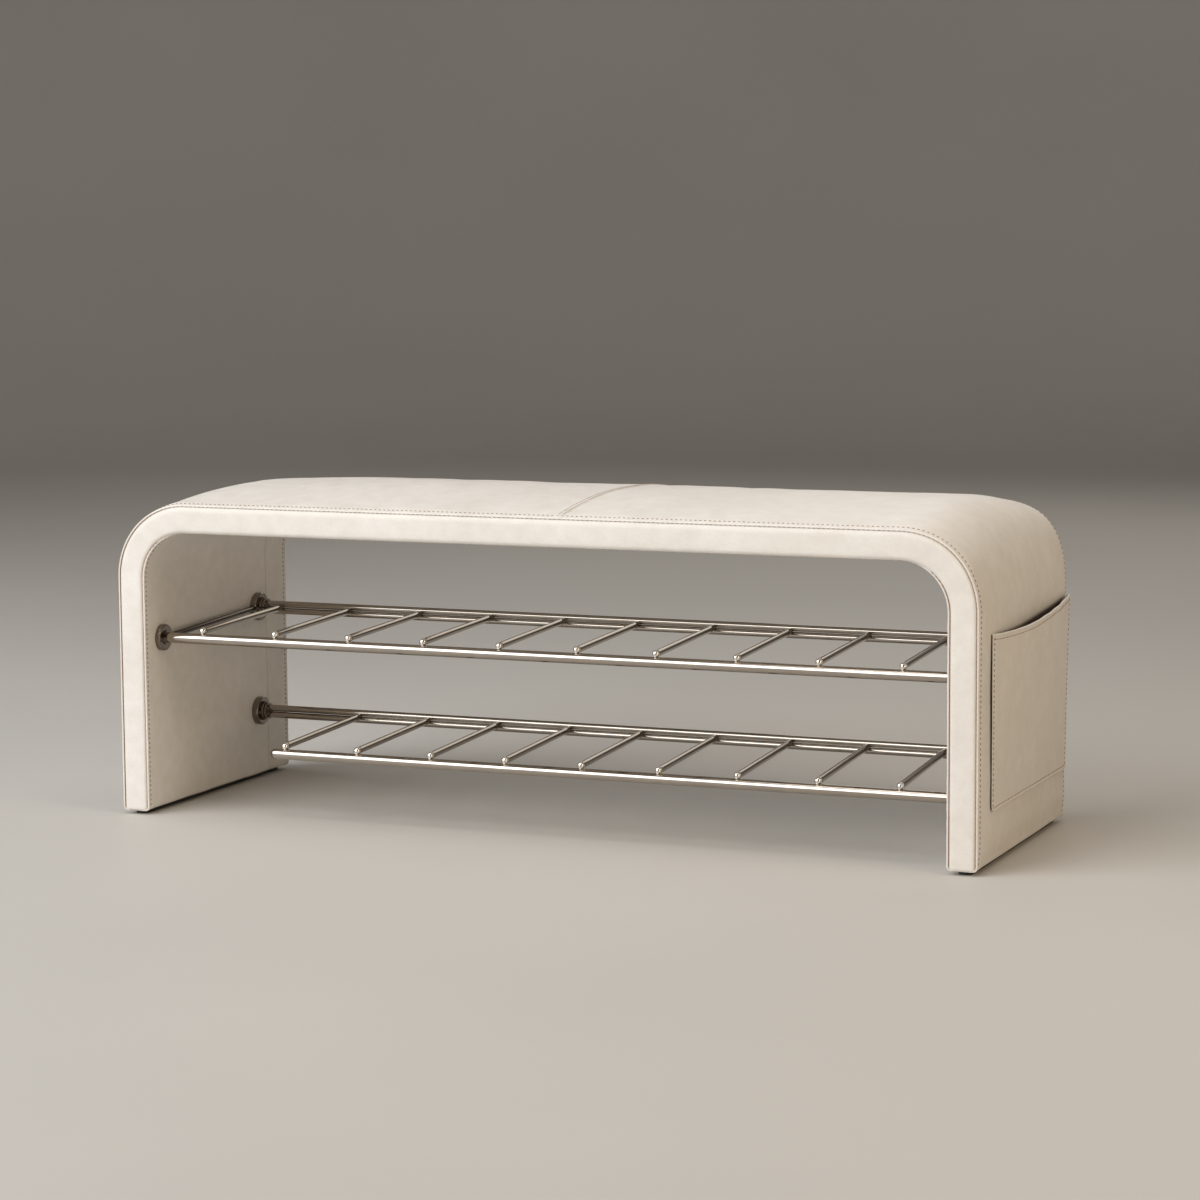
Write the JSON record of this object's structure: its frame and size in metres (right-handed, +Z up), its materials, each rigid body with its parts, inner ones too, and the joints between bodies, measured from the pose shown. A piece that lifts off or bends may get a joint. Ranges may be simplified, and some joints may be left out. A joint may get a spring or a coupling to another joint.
{
  "type": "shoe bench",
  "caption": "Upholstered waterfall bench with a crowned leather seat, slab legs, open metal shoe shelves between them and a stitched patch pocket on one side.",
  "frame": {"origin": "on the floor under the middle of the bench", "axes": "+X along the bench towards the leg with the pocket, +Y from the front to the back, +Z up"},
  "size_m": [1.2126, 0.4, 0.44],
  "materials": {
    "cream_leather": "satin",
    "nickel": "polished",
    "ply": "matte",
    "foam": "matte",
    "black_plastic": "matte",
    "zinc_steel": "satin"
  },
  "bodies": {
    "root": {"back_band": "cream_leather", "back_edge_foam": "foam", "flange_studs": "zinc_steel", "foot_screws": "zinc_steel", "frame_dowels": "ply", "front_band": "cream_leather", "front_edge_foam": "foam", "left_corner_block": "ply", "left_cover": "cream_leather", "left_foot_runner": "black_plastic", "left_leg_board": "ply", "left_side_foam": "foam", "lining_foam": "foam", "lining_main": "cream_leather", "lining_rear": "cream_leather", "lower_front_rail": "nickel", "lower_front_right_flange": "nickel", "lower_rail_end_cap": "nickel", "lower_rear_bottom_rail": "nickel", "lower_rear_left_flange": "nickel", "lower_rear_right_flange": "nickel", "lower_rear_top_rail": "nickel", "lower_slat_01": "nickel", "lower_slat_02": "nickel", "lower_slat_03": "nickel", "lower_slat_04": "nickel", "lower_slat_05": "nickel", "lower_slat_06": "nickel", "lower_slat_07": "nickel", "lower_slat_08": "nickel", "lower_slat_09": "nickel", "rail_end_plugs": "zinc_steel", "right_corner_block": "ply", "right_cover": "cream_leather", "right_foot_runner": "black_plastic", "right_leg_board": "ply", "right_side_foam": "foam", "seat_board": "ply", "seat_foam": "foam", "side_pocket": "cream_leather", "stud_inserts": "zinc_steel", "upper_end_rod": "nickel", "upper_front_left_flange": "nickel", "upper_front_rail": "nickel", "upper_front_right_flange": "nickel", "upper_rear_bottom_rail": "nickel", "upper_rear_left_flange": "nickel", "upper_rear_right_flange": "nickel", "upper_rear_top_rail": "nickel", "upper_slat_01": "nickel", "upper_slat_02": "nickel", "upper_slat_03": "nickel", "upper_slat_04": "nickel", "upper_slat_05": "nickel", "upper_slat_06": "nickel", "upper_slat_07": "nickel", "upper_slat_08": "nickel", "upper_slat_09": "nickel", "upper_slat_10": "nickel"}
  },
  "joints": []
}
